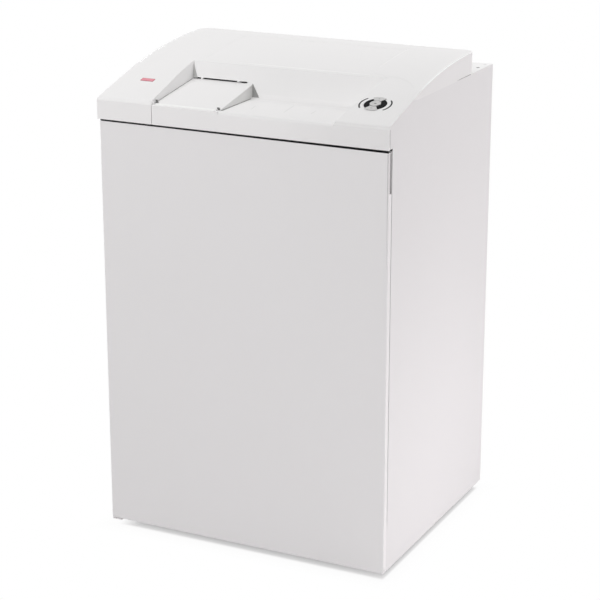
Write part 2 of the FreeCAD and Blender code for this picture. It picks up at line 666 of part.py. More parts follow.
for k in range(7):
    x = ctrl_x - 160 + 20 * k
    ctrl = ctrl.cut(box(x, x + 8, y_f + 90, y_f + 160, deck_z1 + 50, deck_z1 + 53))
save("control_box", ctrl)

# Funnel below the slot and the sprung fingers behind it
low_z = plate_z1 + 3
mouth = [(slot_y + 8, low_z + 40), (slot_y + 8, tray_end - 9), (ramp_y(deck_top + 8, 6) + 1, deck_top + 8)]
hop_y = nip_y + 95
mouth += [(hop_y, deck_top + 8), (hop_y, low_z + 75), (nip_y + 13, low_z), (nip_y - 13, low_z)]
space = [(slot_y + 9.5, low_z + 39), (slot_y + 9.5, tray_end - 10), (slot_y - 5, tray_end - 10)]
space += [(slot_y - 5, HEIGHT), (hop_y - 1.5, HEIGHT), (hop_y - 1.5, low_z + 75.6)]
space += [(nip_y + 11.4, low_z - 1), (nip_y - 11.4, low_z - 1)]
funnel = prism_x(mouth, head_l - 0.5, head_r + 0.5).cut(prism_x(space, head_l + 1, head_r - 1))
tabs = [box(head_l - 9, head_l + 0.5, nip_y - 30, nip_y + 30, plate_z1, low_z + 2)]
tabs.append(box(head_r - 0.5, head_r + 9, nip_y - 30, nip_y + 30, plate_z1, low_z + 2))
flap_y = ramp_y(deck_top + 2, COVER_T) + 8
flap_z = deck_top + 2
funnel = fuse([funnel] + tabs).cut(box(head_l + 1, head_r - 1, nip_y - 31, nip_y + 31, plate_z1 - 1, low_z))
funnel = funnel.cut(rod("x", flap_y, flap_z, 2.5 + RUN, head_l - 2, head_r + 2))
save("feed_hopper", funnel)
flap = [rod("x", flap_y, flap_z, 2.5, head_l - 0.5, head_r + 0.5)]
for x in (slot_x0 + 0.126 * SLOT_W, slot_x0 + 0.82 * SLOT_W):
    tip = ramp_y(tray_end - 2, COVER_T) + 1.5
    points = [(flap_y - 1.5, flap_z + 1.5), (ramp_y(tray_end + 7, COVER_T) + 1.5, tray_end + 7)]
    points += [(tip, tray_end - 2), (tip + 3.5, tray_end - 2), (flap_y + 1.5, flap_z - 1.5)]
    flap.append(prism_x(points, x, x + 5.5))
save("splinter_flap", fuse(flap))

# Waste bin on its carriage
bin_x = BIN_W / 2
bin_y0 = cab_y + 17
bin_y1 = rear_fl - BIN_REAR_GAP
bin_top = shelf_z - BIN_TOP_GAP
bin_z0 = base_z1 + 22


def bin_shape(t):
    low = Part.Wire(outline(rect(-bin_x + 20 + t, bin_x - 20 - t, bin_y0 + 20 + t, bin_y1 - 20 - t, 24),
                            lambda p: V(p.x, p.y, bin_z0 + t)).OuterWire.Edges)
    high = Part.Wire(outline(rect(-bin_x + 8 + t, bin_x - 8 - t, bin_y0 + 8 + t, bin_y1 - 8 - t, 24),
                             lambda p: V(p.x, p.y, bin_top)).OuterWire.Edges)
    return Part.makeLoft([low, high], True, True)


rim = prism_z(rect(-bin_x, bin_x, bin_y0, bin_y1, 30), bin_top - 12, bin_top)
pail = fuse([bin_shape(0), rim]).cut(bin_shape(BIN_T))
hand = prism_y(rect(-60, 60, bin_top - 62, bin_top - 34, 12), bin_y0 - 1, bin_y0 + 40)
save("waste_bin", pail.cut(hand))
tray_x = bin_x - 14
carriage = [box(-tray_x, tray_x, bin_y0 + 14, bin_y1 - 14, bin_z0 - 2, bin_z0)]
carriage += both(box(tray_x - 2, tray_x, bin_y0 + 14, bin_y1 - 14, bin_z0 - 18, bin_z0 - 2))
save("bin_carriage", fuse(carriage))
rail = box(tray_x + 0.4, tray_x + 2.4, bin_y0 + 14, bin_y1 - 8, base_z1, bin_z0 - 4)
rail = fuse([rail, box(tray_x - 14, tray_x + 2.4, bin_y0 + 14, bin_y1 - 8, base_z1, bin_z0 - 18.4)])
save("bin_runners", both(rail))

# Mains inlet with its rocker in the rear panel
body = box(inlet_x + 0.2, inlet_x + inlet_w - 0.2, in_r - 40, y_r, inlet_z + 0.2, inlet_z + inlet_h - 0.2)
rim_i = prism_y(rect(inlet_x - 4, inlet_x + inlet_w + 4, inlet_z - 4, inlet_z + inlet_h + 4, 3), y_r, y_r + 1.2)
body = fuse([body, rim_i])
plug = rect(inlet_x + 10, inlet_x + inlet_w - 10, inlet_z + 4, inlet_z + 26, 3)
body = body.cut(prism_y(plug, y_r - 18, y_r + 5))
for x in (-7.0, 0.0, 7.0):
    pin = inlet_x + inlet_w / 2 + x
    body = body.fuse(box(pin - 1, pin + 1, y_r - 19, y_r - 3, inlet_z + 12, inlet_z + 17))
rock_z = inlet_z + 44
rock_x0 = inlet_x + 11
rock_x1 = inlet_x + inlet_w - 11
body = body.cut(box(rock_x0 - 0.4, rock_x1 + 0.4, y_r - 16, y_r + 5, rock_z - 10.5, rock_z + 10.5))
rock_y = y_r - 8
body = body.cut(rod("x", rock_y, rock_z, 2.0 + RUN, rock_x0 - 4, rock_x1 + 4))
save("mains_inlet", body.removeSplitter())
rocker = [(rock_y + 5.2, rock_z - 9), (rock_y + 9, rock_z - 9), (rock_y + 7.4, rock_z), (rock_y + 9, rock_z + 9)]
rocker = prism_x(rocker + [(rock_y + 5.2, rock_z + 9), (rock_y - 3, rock_z)], rock_x0, rock_x1)
save("mains_rocker", fuse([rocker, rod("x", rock_y, rock_z, 2.0, rock_x0 - 3.5, rock_x1 + 3.5)]))
spots = [(s * (half - 12), z) for s in (-1, 1) for z in (60, 380, shelf_z - 40, deck_top - 27)]
save("case_screws", deck_heads + [screw_y(x, z) for x, z in spots])

# Castors
castor_x = half - CASTOR_IN
castor_y = DEPTH / 2 - CASTOR_IN - 7.5
plates = []
number = 0
for sy in (-1, 1):
    for sx in (-1, 1):
        number += 1
        cx = sx * castor_x
        cy = sy * castor_y
        plate = prism_z(rect(cx - 32, cx + 32, cy - 32, cy + 32, 6), CASTOR_H - 3, CASTOR_H)
        plates.append(plate.cut(rod("z", cx, cy, 6 + RUN, CASTOR_H - 4, CASTOR_H + 1)))
        ax = cy + TRAIL
        crown = rod("z", cx, cy, 18, CASTOR_H - 12, CASTOR_H - 3.4)
        stem = rod("z", cx, cy, 6, CASTOR_H - 12, CASTOR_H - 0.4)
        points = [(cy - 13, CASTOR_H - 8), (cy - 13, CASTOR_H - 14), (ax - 8, WHEEL_R - 6, 4)]
        points += [(ax + 8, WHEEL_R - 6, 4), (cy + 17, CASTOR_H - 8)]
        legs = [prism_x(points, cx + s - 1.5, cx + s + 1.5) for s in (-12.5, 12.5)]
        axle = rod("x", ax, WHEEL_R, 4, cx - 15, cx + 15)
        save("castor_fork_%d" % number, fuse([crown, stem, axle] + legs))
        wheel = rod("x", ax, WHEEL_R, WHEEL_R, cx - 10, cx + 10)
        edges = [e for e in wheel.Edges if abs(e.Length - 2 * math.pi * WHEEL_R) < 1]
        wheel = wheel.makeChamfer(2.0, edges)
        save("castor_wheel_%d" % number, wheel.cut(rod("x", ax, WHEEL_R, 4 + RUN, cx - 11, cx + 11)))
save("castor_plates", plates)
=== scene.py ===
import math

import bpy
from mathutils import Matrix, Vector


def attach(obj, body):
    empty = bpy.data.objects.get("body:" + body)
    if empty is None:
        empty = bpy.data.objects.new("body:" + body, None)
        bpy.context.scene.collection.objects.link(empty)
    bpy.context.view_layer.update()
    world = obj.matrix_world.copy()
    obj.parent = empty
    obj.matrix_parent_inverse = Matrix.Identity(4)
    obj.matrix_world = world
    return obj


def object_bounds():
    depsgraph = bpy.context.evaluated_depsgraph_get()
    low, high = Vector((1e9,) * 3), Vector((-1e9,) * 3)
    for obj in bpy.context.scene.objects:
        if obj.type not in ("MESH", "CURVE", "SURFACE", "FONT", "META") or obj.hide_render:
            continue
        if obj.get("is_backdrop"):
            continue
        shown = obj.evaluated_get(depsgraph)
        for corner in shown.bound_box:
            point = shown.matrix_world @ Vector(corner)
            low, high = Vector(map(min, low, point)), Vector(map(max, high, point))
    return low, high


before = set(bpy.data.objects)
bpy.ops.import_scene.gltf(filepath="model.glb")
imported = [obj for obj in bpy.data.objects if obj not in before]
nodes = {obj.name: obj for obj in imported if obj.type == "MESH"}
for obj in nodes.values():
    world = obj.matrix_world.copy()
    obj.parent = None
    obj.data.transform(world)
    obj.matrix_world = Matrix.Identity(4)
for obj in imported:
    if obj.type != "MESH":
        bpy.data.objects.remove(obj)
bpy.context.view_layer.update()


# Cabinet sheets: the two side panels and the flat rear top are folded steel with a white powder
# coat, which lies slightly wavy over the steel, with a fine orange peel and rounded folds.
# A grey louvred panel closes the back, held by low-headed screws.
class Shade:
    """A shader socket that can stand in sums; make() adds any other node."""

    def __init__(self, tree, socket=None):
        self.tree = tree
        self.socket = socket

    def make(self, kind, settings, sockets, out=0):
        node = self.tree.nodes.new("ShaderNode" + kind)
        for key, value in settings.items():
            setattr(node, key, value)
        for key, value in sockets.items():
            if isinstance(value, Shade):
                self.tree.links.new(value.socket, node.inputs[key])
            else:
                node.inputs[key].default_value = value
        return Shade(self.tree, node.outputs[out])

    def join(self, operation, first, second):
        return self.make("Math", {"operation": operation}, {0: first, 1: second})

    def __add__(self, other):
        return self.join("ADD", self, other)

    def __radd__(self, other):
        return self.join("ADD", other, self)

    def __sub__(self, other):
        return self.join("SUBTRACT", self, other)

    def __rsub__(self, other):
        return self.join("SUBTRACT", other, self)

    def __mul__(self, other):
        return self.join("MULTIPLY", self, other)

    def __rmul__(self, other):
        return self.join("MULTIPLY", other, self)

    def __truediv__(self, other):
        return self.join("DIVIDE", self, other)

    def __rtruediv__(self, other):
        return self.join("DIVIDE", other, self)

    def __gt__(self, other):
        return self.join("GREATER_THAN", self, other)

    def __lt__(self, other):
        return self.join("LESS_THAN", self, other)

    def __abs__(self):
        return self.make("Math", {"operation": "ABSOLUTE"}, {0: self})


def begin(name, **fixed):
    """New material with its fixed shader values; gives it, a blank socket and the shader node."""
    material = bpy.data.materials.new(name)
    material.use_nodes = True
    shader = material.node_tree.nodes["Principled BSDF"]
    for key, value in fixed.items():
        shader.inputs[key.replace("_", " ")].default_value = value
    return material, Shade(material.node_tree), shader


def feed(node, socket, value):
    value.tree.links.new(value.socket, node.inputs[socket])


def place_on(blank):
    return blank.make("TexCoord", {}, {}, "Object")


def measure(blank, where, axis):
    """How far a point lies along one axis, in metres."""
    return blank.make("SeparateXYZ", {}, {0: where}, axis)


def noise(blank, where, scale, detail=2.0, rough=0.5):
    return blank.make("TexNoise", {}, {"Vector": where, "Scale": scale, "Detail": detail,
                                       "Roughness": rough})


def tint(blank, share, first, second):
    """Mixes two colours, each a triple or a socket."""
    first, second = (c if isinstance(c, Shade) else (*c, 1.0) for c in (first, second))
    return blank.make("Mix", {"data_type": "RGBA"}, {0: share, 6: first, 7: second}, 2)


def bump(blank, height, depth, strength, under=None):
    sockets = {"Height": height, "Distance": depth, "Strength": strength}
    if under is not None:
        sockets["Normal"] = under
    return blank.make("Bump", {}, sockets)


def powder_coat(name, colour, shade, rough):
    """Sprayed powder coat: faint cloudiness in the colour, orange peel in the surface."""
    material, blank, shader = begin(name, Specular_IOR_Level=0.4)
    where = place_on(blank)
    cloud = noise(blank, where, 3.2, 3.0)
    peel = noise(blank, where, 900.0, 1.0)
    swell = noise(blank, where, 160.0, 1.0)
    feed(shader, "Base Color", tint(blank, cloud, colour, shade))
    feed(shader, "Roughness", rough + 0.05 * noise(blank, where, 45.0))
    feed(shader, "Normal", bump(blank, swell, 0.00006, 0.3, bump(blank, peel, 0.00002, 0.35)))
    return material


def dress(material, *names):
    for name in names:
        nodes[name].data.materials.clear()
        nodes[name].data.materials.append(material)


def soften(width, *names, steps=3, angle=24.0):
    """Rounds the crisp edges of a solid as folding or moulding leaves them."""
    for name in names:
        weld = nodes[name].modifiers.new("join", "WELD")
        weld.merge_threshold = 0.00002
        flat = nodes[name].modifiers.new("flat", "DECIMATE")
        flat.decimate_type = "DISSOLVE"
        flat.angle_limit = math.radians(0.6)
        edge = nodes[name].modifiers.new("edge", "BEVEL")
        edge.width = width
        edge.segments = steps
        edge.limit_method = "ANGLE"
        edge.angle_limit = math.radians(angle)
        edge.use_clamp_overlap = True
        edge.face_strength_mode = "FSTR_AFFECTED"
        even = nodes[name].modifiers.new("even", "WEIGHTED_NORMAL")
        even.use_face_influence = True
        even.weight = 50


cabinet_white = powder_coat("cabinet_white", (0.775, 0.764, 0.768), (0.765, 0.754, 0.758), 0.42)
dress(cabinet_white, "side_panel_left", "side_panel_right")
# The flat rear top wears a paler copy of the white coat: painted light.
deck_lit_white = powder_coat("deck_lit_white", (0.90, 0.895, 0.895), (0.885, 0.88, 0.88), 0.42)
dress(deck_lit_white, "rear_deck")
cabinet_grey = powder_coat("cabinet_grey", (0.50, 0.51, 0.52), (0.46, 0.47, 0.48), 0.44)
dress(cabinet_grey, "rear_panel")
SHEET_EDGE = 0.0004
soften(SHEET_EDGE, "side_panel_left", "side_panel_right", "rear_deck", "rear_panel", steps=2)
DECK_MIDDLE, DECK_REACH = 0.2570, 0.0130
screw_finish, blank, shader = begin("screw_finish", Specular_IOR_Level=0.3)
where = place_on(blank)
on_deck = blank.make("Math", {"operation": "COMPARE"},
                     {0: measure(blank, where, "Y"), 1: DECK_MIDDLE, 2: DECK_REACH})
wear = noise(blank, where, 900.0, 3.0)
dark = tint(blank, wear, (0.035, 0.035, 0.037), (0.075, 0.075, 0.078))
pale = tint(blank, wear, (0.86, 0.855, 0.855), (0.80, 0.795, 0.795))
feed(shader, "Base Color", tint(blank, on_deck, dark, pale))
feed(shader, "Roughness", 0.36 + 0.14 * wear)
feed(shader, "Normal", bump(blank, wear, 0.00003, 0.4))
dress(screw_finish, "case_screws")

# Shelf and guard: grey-coated folded sheet inside the cabinet that carries the machine and
# fences it off. The base pan closes the bottom, and the runners on it guide the bin's carriage.
dress(cabinet_grey, "base_pan", "machine_deck", "front_guard", "discharge_chute", "bin_runners",
      "bin_carriage")
soften(0.0005, "base_pan", "machine_deck", "front_guard", "bin_carriage", steps=2)


# Castors: plated forks that swivel under square plates fixed to the base pan.
# Their solid black tyres carry a trace of floor dust.
def worked_metal(name, light, dark, grain, rough):
    """Bare metal with a cloudy polish; grain gives the density of its streaks along each axis."""
    material, blank, shader = begin(name, Metallic=1.0)
    where = place_on(blank)
    along = blank.make("VectorMath", {"operation": "MULTIPLY"}, {0: where, 1: grain})
    streak = noise(blank, along, 1.0, 3.0, 0.6)
    cloud = noise(blank, where, 22.0, 3.0)
    feed(shader, "Base Color", tint(blank, 0.5 * streak + 0.5 * cloud, light, dark))
    feed(shader, "Roughness", rough + 0.12 * cloud + 0.08 * streak)
    feed(shader, "Normal", bump(blank, streak, 0.00002, 0.5))
    return material


bright_steel = worked_metal("bright_steel", (0.66, 0.67, 0.68), (0.52, 0.53, 0.55),
                            (12.0, 900.0, 900.0), 0.26)
dress(bright_steel, "castor_plates", "castor_fork_1", "castor_fork_2", "castor_fork_3",
      "castor_fork_4")
tyre, blank, shader = begin("tyre", Specular_IOR_Level=0.3)
where = place_on(blank)
grit = noise(blank, where, 260.0, 4.0, 0.7)
feed(shader, "Base Color", tint(blank, grit * grit, (0.018, 0.018, 0.018), (0.10, 0.098, 0.094)))
feed(shader, "Roughness", 0.62 + 0.2 * grit)
feed(shader, "Normal", bump(blank, grit, 0.00010, 0.4))
dress(tyre, "castor_wheel_1", "castor_wheel_2", "castor_wheel_3", "castor_wheel_4")

# Cutting head and drive: ground tool-steel rollers turn in bronze bushes between plated side
# plates, with stripper combs between their discs, under a hopper of zinc-coated sheet. The gears
# carry an oil film, motor and gearbox a dark enamel, and the electric parts are black plastic.
roller_steel = worked_metal("roller_steel", (0.42, 0.42, 0.44), (0.26, 0.26, 0.28),
                            (30.0, 1700.0, 1700.0), 0.24)
dress(roller_steel, "cutter_front", "cutter_rear")
bronze = worked_metal("bronze", (0.66, 0.46, 0.22), (0.50, 0.33, 0.14), (60.0, 60.0, 1500.0), 0.25)
dress(bronze, "roller_bushes")
dress(bright_steel, "tie_rods", "stripper_front", "stripper_rear", "capacitor")
gear_steel, blank, shader = begin("gear_steel", Metallic=1.0, Coat_Roughness=0.12)
where = place_on(blank)
film = noise(blank, where, 55.0, 4.0, 0.6)
mill = noise(blank, where, 1500.0, 1.0)
feed(shader, "Base Color", tint(blank, film, (0.40, 0.40, 0.42), (0.20, 0.19, 0.18)))
feed(shader, "Roughness", 0.26 + 0.18 * film)
feed(shader, "Coat Weight", 0.5 * film)
feed(shader, "Normal", bump(blank, mill, 0.00002, 0.4))
dress(gear_steel, "sync_gear_front", "sync_gear_rear", "drive_gear", "drive_pinion")
zinc_sheet, blank, shader = begin("zinc_sheet", Metallic=1.0)
where = place_on(blank)
flower = blank.make("TexVoronoi", {}, {"Vector": where, "Scale": 190.0, "Randomness": 1.0}, "Color")
flake = blank.make("SeparateColor", {}, {0: flower}, 0)
haze = noise(blank, where, 30.0, 3.0)
feed(shader, "Base Color",
     tint(blank, 0.6 * flake + 0.4 * haze, (0.62, 0.63, 0.65), (0.48, 0.49, 0.51)))
feed(shader, "Roughness", 0.30 + 0.14 * flake)
feed(shader, "Normal", bump(blank, haze, 0.00005, 0.3))
dress(zinc_sheet, "head_plate_left", "head_plate_right", "feed_hopper")
enamel, blank, shader = begin("enamel", Specular_IOR_Level=0.5, Coat_Roughness=0.15)
where = place_on(blank)
dust = noise(blank, where, 26.0, 4.0, 0.6)
peel = noise(blank, where, 420.0, 1.0)
feed(shader, "Base Color", tint(blank, dust, (0.030, 0.034, 0.042), (0.060, 0.064, 0.072)))
feed(shader, "Roughness", 0.30 + 0.16 * dust)
feed(shader, "Coat Weight", 0.4 - 0.3 * dust)
feed(shader, "Normal", bump(blank, peel, 0.00005, 0.4))
dress(enamel, "drive_motor", "gearbox", "motor_cowl")


def grained_plastic(name, light, dark, rough, grit=1400.0, depth=0.00003, gloss=0.4):
    """Moulded plastic with an eroded grain and a little flow cloud."""
    material, blank, shader = begin(name, Specular_IOR_Level=gloss)
    where = place_on(blank)
    grain = noise(blank, where, grit, 2.5, 0.6)
    cloud = noise(blank, where, 14.0)
    feed(shader, "Base Color", tint(blank, 0.7 * cloud + 0.3 * grain, light, dark))
    feed(shader, "Roughness", rough + 0.10 * grain)
    feed(shader, "Normal", bump(blank, grain, depth, 0.5))
    return material


black_satin = grained_plastic("black_satin", (0.022, 0.022, 0.024), (0.032, 0.032, 0.034), 0.38)
dress(black_satin, "control_box", "mains_inlet", "mains_rocker")

# Waste bin: a tall pail with a rim, moulded in dark plastic, that rides on the sliding carriage.
# Its walls are faintly streaked along the mould's draw and scuffed by shreds.
bin_dark, blank, shader = begin("bin_dark", Specular_IOR_Level=0.35)
where = place_on(blank)
grain = noise(blank, where, 1100.0)
draw = blank.make("VectorMath", {"operation": "MULTIPLY"}, {0: where, 1: (140.0, 140.0, 3.0)})
scuff = noise(blank, draw, 1.0, 4.0, 0.65)
feed(shader, "Base Color", tint(blank, scuff, (0.060, 0.063, 0.068), (0.105, 0.108, 0.112)))
feed(shader, "Roughness", 0.48 + 0.16 * scuff)
feed(shader, "Normal", bump(blank, scuff, 0.00008, 0.4, bump(blank, grain, 0.00004, 0.5)))
dress(bin_dark, "waste_bin")
soften(0.0008, "waste_bin", steps=2, angle=40.0)

# Door: one folded steel pan in the cabinet's white with a grey liner, on pins in bronze bushes.
# Its right edge carries a strip of painted highlight and is cut away behind the skin as a finger
# grip, lined with a grey cup, with a grey line of painted shade at the fold beside it. Black strips
# of painted shade darken the gap above it, a filler closes the low seam beside it, a plunger switch
# senses it.
dress(cabinet_white, "door_skin")
soften(0.0012, "door_skin")
dress(cabinet_grey, "door_liner")
dress(black_satin, "door_catch", "door_switch")
dress(bronze, "hinge_bushes")
dress(zinc_sheet, "strike_plate")
grip_grey = grained_plastic("grip_grey", (0.80, 0.79, 0.79), (0.84, 0.83, 0.83), 0.5)
dress(grip_grey, "grip_cup", "switch_plunger")
HINGE_PARTING = 0.45
bracket_coat, blank, shader = begin("bracket_coat", Specular_IOR_Level=0.35)
where = place_on(blank)
upper = measure(blank, where, "Z") > HINGE_PARTING
cloud = noise(blank, where, 40.0, 3.0)
pale = tint(blank, cloud, (0.80, 0.775, 0.782), (0.77, 0.745, 0.752))
dark = tint(blank, cloud, (0.022, 0.022, 0.024), (0.034, 0.034, 0.036))
feed(shader, "Base Color", tint(blank, upper, pale, dark))
feed(shader, "Roughness", 0.42 + 0.10 * cloud)
feed(shader, "Normal", bump(blank, noise(blank, where, 900.0, 1.0), 0.00002, 0.4))
dress(bracket_coat, "hinge_brackets")


def add_piece(name, points, faces, material, body):
    mesh = bpy.data.meshes.new(name)
    mesh.from_pydata([tuple(p) for p in points], [], faces)
    mesh.update()
    mesh.materials.append(material)
    piece = bpy.data.objects.new(name, mesh)
    bpy.context.scene.collection.objects.link(piece)
    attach(piece, body)
    return piece


def plate_over(name, rows, up, thick, material, body):
    """Thin skin over rows of points, raised along up and closed below, its faces turned outward."""
    wide, last = len(rows[0]), len(rows) - 1
    up = Vector(up)
    flat = [Vector(p) for row in rows for p in row]
    count = len(flat)
    cells = [(a, a + 1, a + wide + 1, a + wide)
             for r in range(last) for a in range(r * wide, r * wide + wide - 1)]
    rim = list(range(wide)) + [r * wide + wide - 1 for r in range(1, last + 1)]
    rim += [last * wide + c for c in range(wide - 2, -1, -1)]
    rim += [r * wide for r in range(last - 1, 0, -1)]
    faces = cells + [tuple(a + count for a in reversed(cell)) for cell in cells]
    faces += [(a, a + count, b + count, b) for a, b in zip(rim, rim[1:] + rim[:1])]
    facing = sum((flat[b] - flat[a]).cross(flat[d] - flat[a]).dot(up) for a, b, c, d in cells)
    if facing < 0.0:
        faces = [face[::-1] for face in faces]
    add_piece(name, [p + up * thick for p in flat] + flat, faces, material, body)


def shares(count):
    """Shares from nought to one in even steps."""
    return [k / count for k in range(count + 1)]


def between(first, last, share):
    return first + (last - first) * share


UP, RIGHT, FORWARD = (0, 0, 1), (1, 0, 0), (0, -1, 0)
GAP_LEFT, GAP_RIGHT, GAP_FLOOR, GAP_DEPTH = -0.2955, 0.3160, 0.8911, (-0.2520, -0.2635)
# Black strips in the gap under the lip and over the door's top edge stand in as painted shade.
gap_shade_black = grained_plastic("gap_shade_black", (0.010, 0.010, 0.011), (0.016, 0.016, 0.017), 0.8,
                             2200.0, 0.0001, 0.05)
rows = [[(between(GAP_LEFT, GAP_RIGHT, t), y, GAP_FLOOR) for y in GAP_DEPTH]
        for t in shares(16)]
plate_over("gap_shade_strip", rows, UP, 0.0030, gap_shade_black, "cabinet")
SKIN_FRONT, SKIN_ROUND, SKIN_BACK = -0.2696, -0.2692, -0.2640
SKIN_SIDE, SKIN_TOP = 0.3200, 0.8905
TOP_SHADE_LEFT, TOP_SHADE_RIGHT, TOP_SHADE_LOW, TOP_SHADE_DROP = -0.3160, 0.3195, 0.8901, 0.0015
rows = []
for t in shares(32):
    x = between(TOP_SHADE_LEFT, TOP_SHADE_RIGHT, t)
    low = TOP_SHADE_LOW - TOP_SHADE_DROP * t ** 1.5
    rows.append([(x, SKIN_FRONT, low), (x, SKIN_FRONT, 0.8900), (x, SKIN_ROUND, SKIN_TOP),
                 (x, SKIN_BACK, SKIN_TOP)])
plate_over("door_top_shade", rows, (0, -0.7, 0.7), 0.00025, gap_shade_black, "door")
rows = [[(SKIN_SIDE, between(-0.2685, -0.2560, t), z - 0.0006 * t) for z in (0.8906, 0.8893)]
        for t in shares(10)]
plate_over("door_top_shade_end", rows, RIGHT, 0.0002, gap_shade_black, "door")
PAINT_THICK = 0.00006
FOLD, FOLD_HALF, FOLD_FRONT, FOLD_TOP, FOLD_END = 0.3180, 0.0009, -0.2695, 0.8860, 0.6600
# Grey lines at the fold beside the grip and at the lip's ends are painted shade.
seam_shade_grey = grained_plastic("seam_shade_grey", (0.52, 0.51, 0.515), (0.58, 0.57, 0.575), 0.5, gloss=0.2)
rows = []
for t in shares(24):
    half = FOLD_HALF * min(1.0, 1.35 - 1.2 * t)
    z = between(FOLD_TOP, FOLD_END, t)
    rows.append([(x, FOLD_FRONT, z) for x in (FOLD - half, FOLD + half)])
plate_over("fold_shade_line", rows, FORWARD, PAINT_THICK, seam_shade_grey, "door")
# A paler strip over the door's right edge is painted highlight.
EDGE_LOW, EDGE_HIGH, EDGE_DEPTH = 0.0240, 0.8070, (-0.2675, -0.2560)
edge_highlight_white = powder_coat("edge_highlight_white", (0.86, 0.845, 0.85), (0.84, 0.825, 0.83), 0.38)
rows = [[(SKIN_SIDE, y, between(EDGE_LOW, EDGE_HIGH, t)) for y in EDGE_DEPTH] for t in shares(30)]
plate_over("door_edge_highlight", rows, RIGHT, PAINT_THICK, edge_highlight_white, "door")
SEAM_LOW, SEAM_HIGH, SEAM_OPENS, SEAM_LONG = 0.0180, 0.2600, 0.090, 0.170
SEAM_FACE, SEAM_SET_BACK, SEAM_DEPTH = 0.3196, 0.0100, (-0.25435, -0.25205)
rows = []
for t in shares(24):
    z = between(SEAM_LOW, SEAM_HIGH, t)
    x = SEAM_FACE - SEAM_SET_BACK * max((z - SEAM_OPENS) / SEAM_LONG, 0.0) ** 1.5
    rows.append([(x, y, z) for y in SEAM_DEPTH])
plate_over("seam_filler", rows, RIGHT, 0.0003, cabinet_white, "cabinet")


# Moulded top: dome with left and right blocks, its service lid and the scooped feed table with
# disc tray, all injection-moulded in white plastic with a fine eroded grain and rounded edges.
# Small dark blocks, corner triangles and foot lines of painted shade trim the tray, with a bead of
# painted highlight, and the seams round the lid are filled or carry strips of painted highlight.
def moulded_white(name):
    """White moulding plastic; gives the material, its socket, shader and place, and its colour."""
    material, blank, shader = begin(name, Specular_IOR_Level=0.42)
    where = place_on(blank)
    grain = noise(blank, where, 1600.0, 3.0, 0.6)
    cloud = noise(blank, where, 5.0)
    feed(shader, "Roughness", 0.46 + 0.10 * grain)
    feed(shader, "Normal", bump(blank, grain, 0.00003, 0.4))
    colour = tint(blank, cloud, (0.826, 0.817, 0.816), (0.811, 0.802, 0.801))
    return material, blank, shader, where, colour


def grade(blank, value, none, full):
    """Nought where the value is none, one where it is full, even between and held beyond."""
    share = (value - none) / (full - none)
    return blank.join("MINIMUM", blank.join("MAXIMUM", share, 0.0), 1.0)


top_white, blank, shader, where, colour = moulded_white("top_white")
feed(shader, "Base Color", colour)
dress(top_white, "top_cover", "service_hatch", "splinter_flap")
table_white, blank, shader, where, colour = moulded_white("table_white")
across, along, height = (measure(blank, where, axis) for axis in "XYZ")
facing = measure(blank, blank.make("TexCoord", {}, {}, "Normal"), "Y")
# painted shade dulls ledge and lip towards the right; painted light pales the ramp's foot and right
# end
ledge_painted_shade = (grade(blank, across, 0.08, 0.20) * grade(blank, height, 0.937, 0.936)
             * grade(blank, along, -0.268, -0.264))
lip_painted_shade = grade(blank, facing, -0.8, -0.9) * grade(blank, across, 0.10, 0.20)
ramp_end_painted_light = (grade(blank, facing, -0.35, -0.60) * grade(blank, across, 0.02, 0.20)
            * grade(blank, along, -0.16, -0.15))
ramp_foot_painted_light = (grade(blank, abs(along + 0.1275), 0.0133, 0.0038)
             * grade(blank, across, -0.040, -0.020) * grade(blank, height, 0.946, 0.942))
colour = tint(blank, ledge_painted_shade, colour, (0.795, 0.787, 0.786))
colour = tint(blank, lip_painted_shade, colour, (0.776, 0.768, 0.767))
ramp_painted_light = blank.join("MINIMUM", ramp_end_painted_light + ramp_foot_painted_light, 1.0)
feed(shader, "Base Color", tint(blank, ramp_painted_light, colour, (0.863, 0.853, 0.852)))
dress(table_white, "feed_table")
soften(0.0010, "top_cover", "feed_table")
soften(0.0004, "service_hatch", steps=2)
HANDS = (("right", 1.0), ("left", -1.0))
LIP_SIDE, LIP_FOOT = 0.3190, 0.8948
LIP_TOP = ((-0.2704, 0.9352), (-0.2680, 0.9372), (-0.2655, 0.9388), (-0.2630, 0.9398))
JOINT_SIDE, JOINT_LOW, JOINT_HIGH, JOINT_DEPTH = 0.3202, 0.8952, 0.9337, (-0.2669, -0.2640)
for hand, side in HANDS:
    rows = [[(side * LIP_SIDE, y, between(LIP_FOOT, top, t)) for y, top in LIP_TOP]
            for t in shares(12)]
    plate_over("lip_return_" + hand, rows, (side, 0, 0), 0.0012, top_white, "cabinet")
    rows = [[(side * JOINT_SIDE, y, between(JOINT_LOW, JOINT_HIGH, t)) for y in JOINT_DEPTH]
            for t in shares(12)]
    plate_over("lip_joint_shade_" + hand, rows, (side, 0, 0), PAINT_THICK, seam_shade_grey, "cabinet")

RAMP = math.radians(50.0)
RAMP_RUN = 0.0209
SLOT_Y, SLOT_Z = -0.1030, 0.9579
FOOT_Y, FOOT_Z, FOOT_ROUND = -0.1333, 0.9560, 0.022
LEDGE = 0.934
DIVIDER_FOOT, DIVIDER_LEAN = -0.0465, 0.4245


def ramp_skin(x, down, lift):
    """Point over the ramp, down metres below the slot's level, following its round foot."""
    if down < RAMP_RUN:
        lean = RAMP
        y, z = SLOT_Y - down * math.cos(lean), SLOT_Z - down * math.sin(lean)
    else:
        lean = max(RAMP - (down - RAMP_RUN) / FOOT_ROUND, 0.0)
        y, z = FOOT_Y + FOOT_ROUND * math.sin(lean), FOOT_Z - FOOT_ROUND * math.cos(lean)
    return Vector((x, y - lift * math.sin(lean), z + lift * math.cos(lean)))


def divider_x(z):
    """Place of the divider's leaning right face at a height."""
    return DIVIDER_FOOT - DIVIDER_LEAN * (z - LEDGE)


